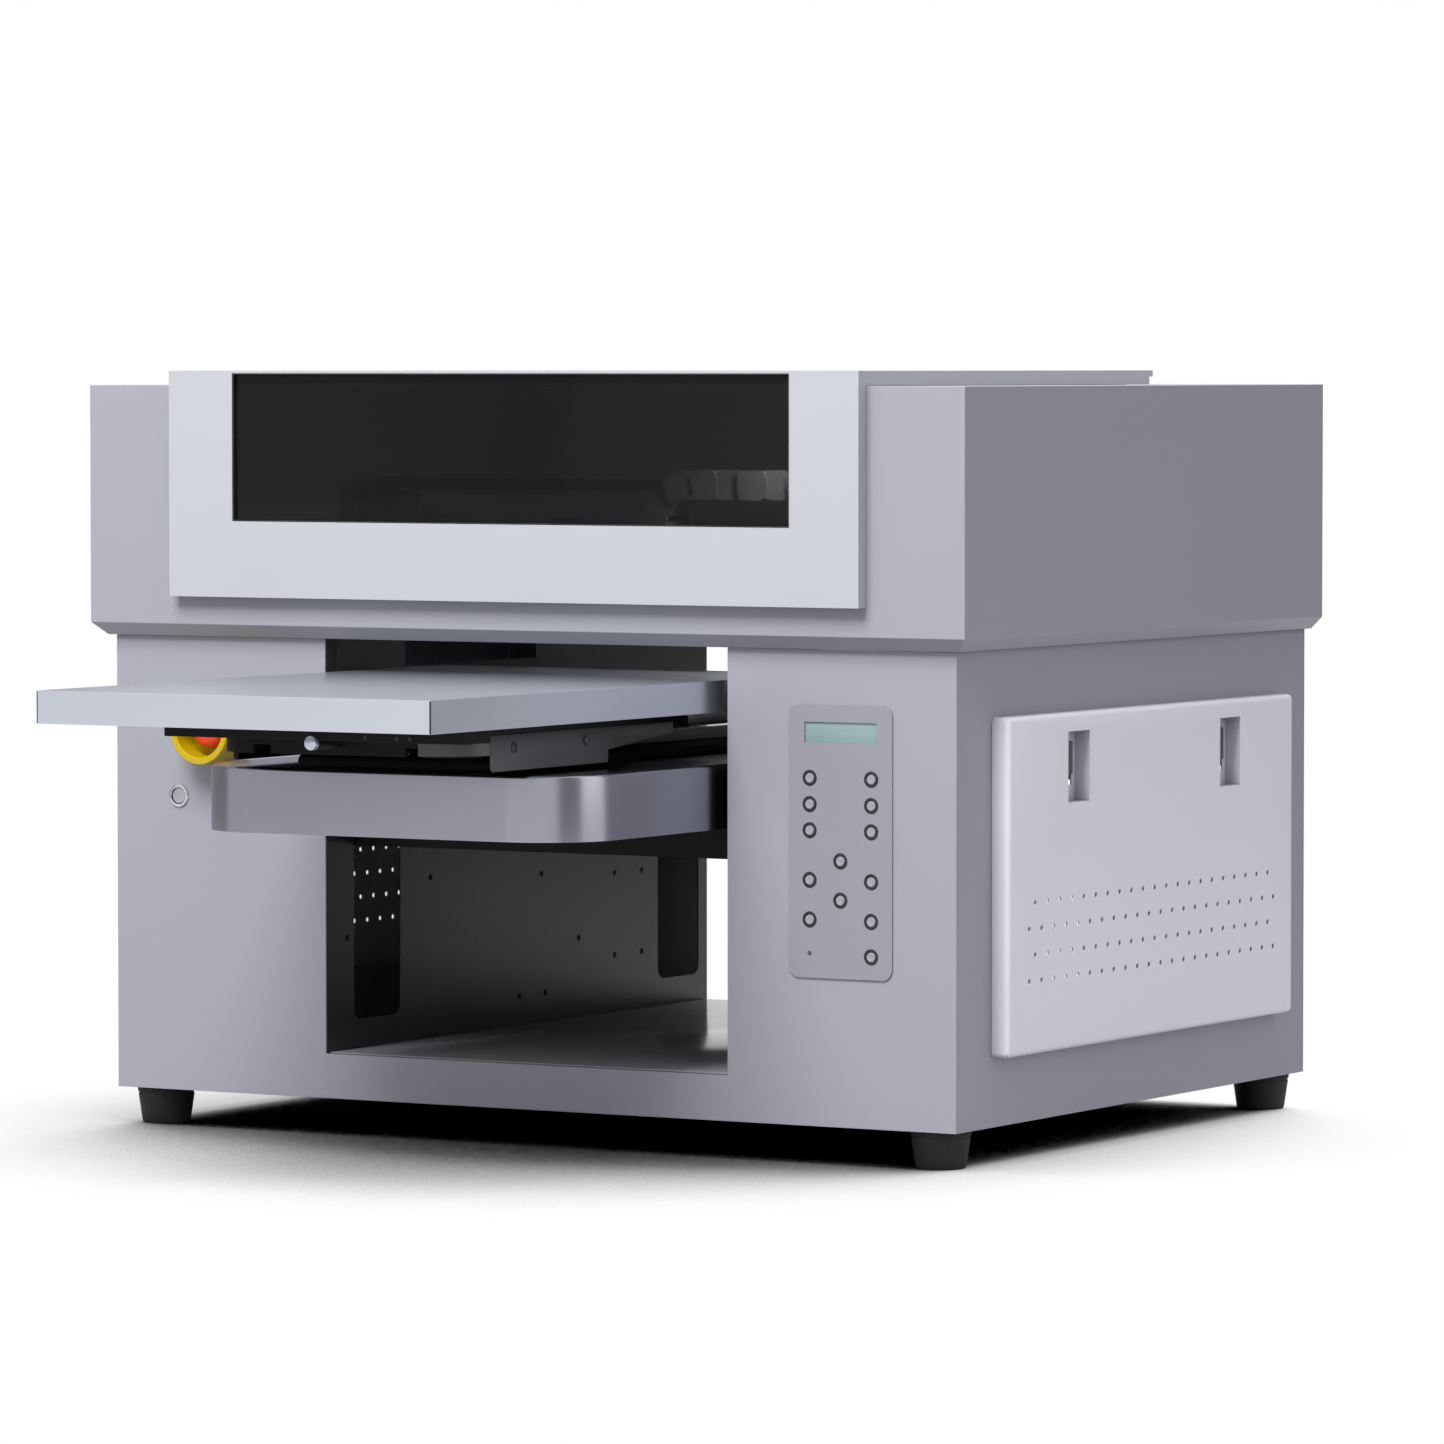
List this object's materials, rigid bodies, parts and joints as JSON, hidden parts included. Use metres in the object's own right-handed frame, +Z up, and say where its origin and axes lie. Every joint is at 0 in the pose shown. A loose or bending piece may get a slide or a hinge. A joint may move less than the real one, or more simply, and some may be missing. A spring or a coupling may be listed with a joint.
{
  "type": "desktop flatbed uv printer",
  "caption": "Desktop flatbed UV printer with a smoked lid, side service doors and a print table run out to the front.",
  "frame": {"origin": "on the ground, under the middle of the machine's overall box with its table run out", "axes": "+Z up; -Y is the front, towards which the table runs out; +X is the machine's right side seen from the front"},
  "size_m": [0.8, 1.006, 0.6065],
  "materials": {
    "casing_paint": "satin silver-grey powder coat",
    "lid_paint": "satin pale grey powder coat",
    "tunnel_paint": "semi-gloss charcoal coat",
    "black_coat": "black anodised aluminium",
    "panel_sheet": "satin mid-grey plate",
    "smoked_glass": "smoked acrylic window",
    "display_glass": "unlit green-grey character display",
    "zinc_steel": "ground or zinc-plated steel",
    "bed_metal": "satin grey metal",
    "table_metal": "satin pale aluminium",
    "key_plastic": "pale grey plastic",
    "black_plastic": "black plastic",
    "guard_yellow": "yellow plastic",
    "stop_red": "red plastic",
    "tank_plastic": "translucent white plastic",
    "foot_rubber": "black rubber"
  },
  "bodies": {
    "casing": {"base_pan": "panel_sheet", "front_panel": "casing_paint", "rear_panel": "casing_paint", "side_panel_right": "casing_paint", "side_panel_left": "casing_paint", "tunnel_liner": "tunnel_paint", "hood_shell": "casing_paint", "lid_hinge": "zinc_steel", "control_panel_plate": "panel_sheet", "display_window": "display_glass", "power_button_bezel": "zinc_steel", "estop_guard": "guard_yellow", "power_inlet": "black_plastic", "guide_rod_frame": "zinc_steel", "gantry_beam": "zinc_steel", "carriage_motor": "black_coat", "drag_chain_lower": "black_plastic", "cap_station": "tunnel_paint", "electronics_chassis": "zinc_steel", "ink_tank_rack": "tank_plastic", "rubber_foot_front_left": "foot_rubber", "rubber_foot_front_right": "foot_rubber", "rubber_foot_rear_left": "foot_rubber", "rubber_foot_rear_right": "foot_rubber"},
    "lid": {"lid_frame": "lid_paint", "lid_window": "smoked_glass"},
    "right_door": {"door_right": "lid_paint"},
    "left_door": {"door_left": "lid_paint"},
    "right_front_latch": {"latch_right_front": "black_plastic"},
    "right_rear_latch": {"latch_right_rear": "black_plastic"},
    "left_front_latch": {"latch_left_front": "black_plastic"},
    "left_rear_latch": {"latch_left_rear": "black_plastic"},
    "bed": {"lift_frame": "black_coat", "bed_tray": "bed_metal", "bed_deck": "black_coat", "feed_rails": "zinc_steel"},
    "table": {"table_saddle": "black_coat", "table_plate": "table_metal"},
    "right_screw": {"lift_screw_right": "zinc_steel"},
    "left_screw": {"lift_screw_left": "zinc_steel"},
    "head_carriage": {"print_carriage": "black_coat", "print_head": "zinc_steel", "uv_lamp": "zinc_steel", "drag_chain_upper": "black_plastic"},
    "chain_bend": {"drag_chain_bend": "black_plastic"},
    "power_cap": {"power_button_cap": "zinc_steel"},
    "stop_head": {"estop_head": "stop_red"},
    "key_01_cap": {"key_01": "key_plastic"},
    "key_02_cap": {"key_02": "key_plastic"},
    "key_03_cap": {"key_03": "key_plastic"},
    "key_04_cap": {"key_04": "key_plastic"},
    "key_05_cap": {"key_05": "key_plastic"},
    "key_06_cap": {"key_06": "key_plastic"},
    "key_07_cap": {"key_07": "key_plastic"},
    "key_08_cap": {"key_08": "key_plastic"},
    "key_09_cap": {"key_09": "key_plastic"},
    "key_10_cap": {"key_10": "key_plastic"},
    "key_11_cap": {"key_11": "key_plastic"},
    "key_12_cap": {"key_12": "key_plastic"},
    "key_13_cap": {"key_13": "key_plastic"}
  },
  "joints": [
    {"name": "bed_lift", "type": "slide", "parent": "casing", "child": "bed", "axis": [0, 0, 1], "range_m": [-0.1, 0.012]},
    {"name": "table_feed", "type": "slide", "parent": "bed", "child": "table", "axis": [0, 1, 0], "range_m": [0, 0.55]},
    {"name": "right_screw_turn", "type": "hinge", "parent": "casing", "child": "right_screw", "pos_m": [0.215, 0.3, 0.04], "axis": [0, 0, 1], "range_deg": [-3620, 440]},
    {"name": "left_screw_turn", "type": "hinge", "parent": "casing", "child": "left_screw", "pos_m": [-0.215, 0.3, 0.04], "axis": [0, 0, 1], "range_deg": [-3620, 440]},
    {"name": "lid_hinge_turn", "type": "hinge", "parent": "casing", "child": "lid", "pos_m": [0, 0.357, 0.6], "axis": [-1, 0, 0], "range_deg": [0, 65]},
    {"name": "right_door_hinge", "type": "hinge", "parent": "casing", "child": "right_door", "pos_m": [0.385, 0.2046, 0.083], "axis": [0, 1, 0], "range_deg": [0, 80]},
    {"name": "left_door_hinge", "type": "hinge", "parent": "casing", "child": "left_door", "pos_m": [-0.385, 0.2046, 0.083], "axis": [0, -1, 0], "range_deg": [0, 80]},
    {"name": "right_front_latch_slide", "type": "slide", "parent": "right_door", "child": "right_front_latch", "axis": [0, 0, -1], "range_m": [0, 0.008], "stiffness_N_per_m": 150},
    {"name": "right_rear_latch_slide", "type": "slide", "parent": "right_door", "child": "right_rear_latch", "axis": [0, 0, -1], "range_m": [0, 0.008], "stiffness_N_per_m": 150},
    {"name": "left_front_latch_slide", "type": "slide", "parent": "left_door", "child": "left_front_latch", "axis": [0, 0, -1], "range_m": [0, 0.008], "stiffness_N_per_m": 150},
    {"name": "left_rear_latch_slide", "type": "slide", "parent": "left_door", "child": "left_rear_latch", "axis": [0, 0, -1], "range_m": [0, 0.008], "stiffness_N_per_m": 150},
    {"name": "carriage_travel", "type": "slide", "parent": "casing", "child": "head_carriage", "axis": [-1, 0, 0], "range_m": [0, 0.49], "deforming": ["drag_chain_upper", "drag_chain_lower"]},
    {"name": "chain_bend_travel", "type": "slide", "parent": "casing", "child": "chain_bend", "axis": [-1, 0, 0], "range_m": [0, 0.245]},
    {"name": "key_01_press", "type": "slide", "parent": "casing", "child": "key_01_cap", "axis": [0, 1, 0], "range_m": [0, 0.0006], "stiffness_N_per_m": 800},
    {"name": "key_02_press", "type": "slide", "parent": "casing", "child": "key_02_cap", "axis": [0, 1, 0], "range_m": [0, 0.0006], "stiffness_N_per_m": 800},
    {"name": "key_03_press", "type": "slide", "parent": "casing", "child": "key_03_cap", "axis": [0, 1, 0], "range_m": [0, 0.0006], "stiffness_N_per_m": 800},
    {"name": "key_04_press", "type": "slide", "parent": "casing", "child": "key_04_cap", "axis": [0, 1, 0], "range_m": [0, 0.0006], "stiffness_N_per_m": 800},
    {"name": "key_05_press", "type": "slide", "parent": "casing", "child": "key_05_cap", "axis": [0, 1, 0], "range_m": [0, 0.0006], "stiffness_N_per_m": 800},
    {"name": "key_06_press", "type": "slide", "parent": "casing", "child": "key_06_cap", "axis": [0, 1, 0], "range_m": [0, 0.0006], "stiffness_N_per_m": 800},
    {"name": "key_07_press", "type": "slide", "parent": "casing", "child": "key_07_cap", "axis": [0, 1, 0], "range_m": [0, 0.0006], "stiffness_N_per_m": 800},
    {"name": "key_08_press", "type": "slide", "parent": "casing", "child": "key_08_cap", "axis": [0, 1, 0], "range_m": [0, 0.0006], "stiffness_N_per_m": 800},
    {"name": "key_09_press", "type": "slide", "parent": "casing", "child": "key_09_cap", "axis": [0, 1, 0], "range_m": [0, 0.0006], "stiffness_N_per_m": 800},
    {"name": "key_10_press", "type": "slide", "parent": "casing", "child": "key_10_cap", "axis": [0, 1, 0], "range_m": [0, 0.0006], "stiffness_N_per_m": 800},
    {"name": "key_11_press", "type": "slide", "parent": "casing", "child": "key_11_cap", "axis": [0, 1, 0], "range_m": [0, 0.0006], "stiffness_N_per_m": 800},
    {"name": "key_12_press", "type": "slide", "parent": "casing", "child": "key_12_cap", "axis": [0, 1, 0], "range_m": [0, 0.0006], "stiffness_N_per_m": 800},
    {"name": "key_13_press", "type": "slide", "parent": "casing", "child": "key_13_cap", "axis": [0, 1, 0], "range_m": [0, 0.0006], "stiffness_N_per_m": 800},
    {"name": "power_press", "type": "slide", "parent": "casing", "child": "power_cap", "axis": [0, 1, 0], "range_m": [0, 0.0015], "stiffness_N_per_m": 800},
    {"name": "stop_press", "type": "slide", "parent": "casing", "child": "stop_head", "axis": [0, 1, 0], "range_m": [0, 0.005], "stiffness_N_per_m": 1500}
  ],
  "couplings": [
    {"joint": "right_screw_turn", "follows": "bed_lift", "rad_per_m": 628.32},
    {"joint": "left_screw_turn", "follows": "bed_lift", "rad_per_m": 628.32},
    {"joint": "chain_bend_travel", "follows": "carriage_travel", "ratio": 0.5}
  ]
}
